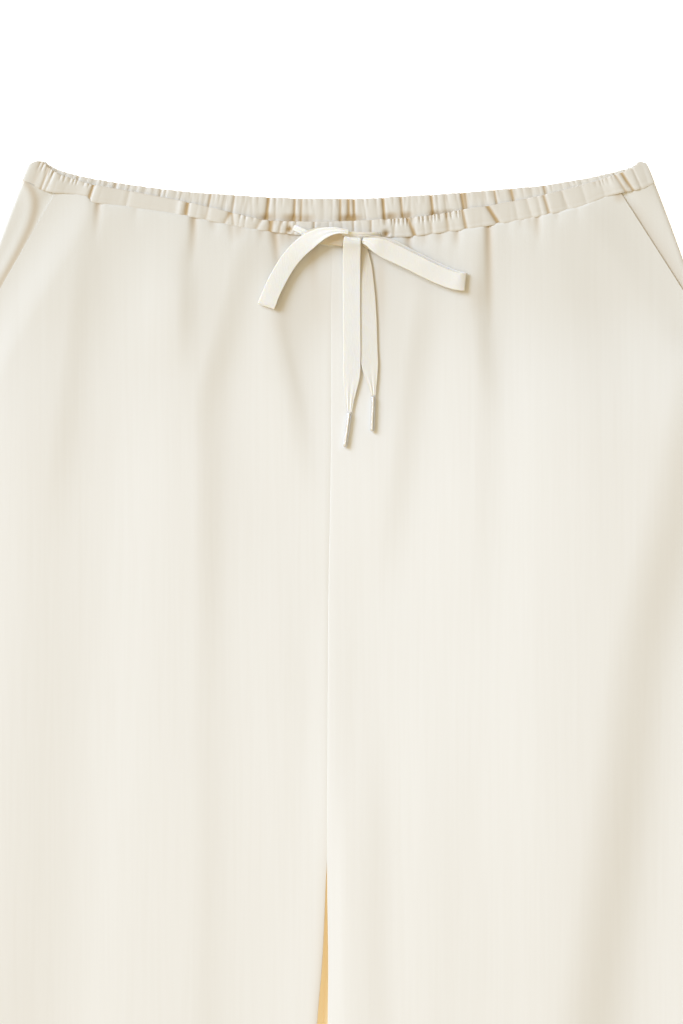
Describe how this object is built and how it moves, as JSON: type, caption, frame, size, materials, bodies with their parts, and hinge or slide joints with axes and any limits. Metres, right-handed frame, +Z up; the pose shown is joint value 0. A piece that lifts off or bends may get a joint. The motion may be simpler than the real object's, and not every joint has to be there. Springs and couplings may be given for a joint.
{
  "type": "satin drawstring trousers",
  "caption": "Wide-leg satin trousers laid flat, front up, with a gathered drawstring waist tied in a bow and slanted side pockets.",
  "frame": {"origin": "middle of the garment's length and width, on the surface it lies on", "axes": "+Y from the hems to the waist, +Z up out of the front, +X to the right as the front is looked at from above with the waist at the top"},
  "size_m": [0.632, 1.0648, 0.0144],
  "materials": {
    "satin": "ivory satin with a soft sheen",
    "ribbon": "ivory satin ribbon",
    "aglet_metal": "polished pale metal"
  },
  "bodies": {
    "root": {"front_left": "satin", "front_right": "satin", "back_left": "satin", "back_right": "satin", "waistband_front": "satin", "waistband_back": "satin", "pocket_facing_left": "satin", "pocket_facing_right": "satin", "drawstring_knot": "ribbon", "drawstring_loop_left": "ribbon", "drawstring_loop_right": "ribbon", "drawstring_tail_left": "ribbon", "drawstring_tail_right": "ribbon", "drawstring_lead_left": "ribbon", "drawstring_lead_right": "ribbon", "aglet_left": "aglet_metal", "aglet_right": "aglet_metal"}
  },
  "joints": []
}
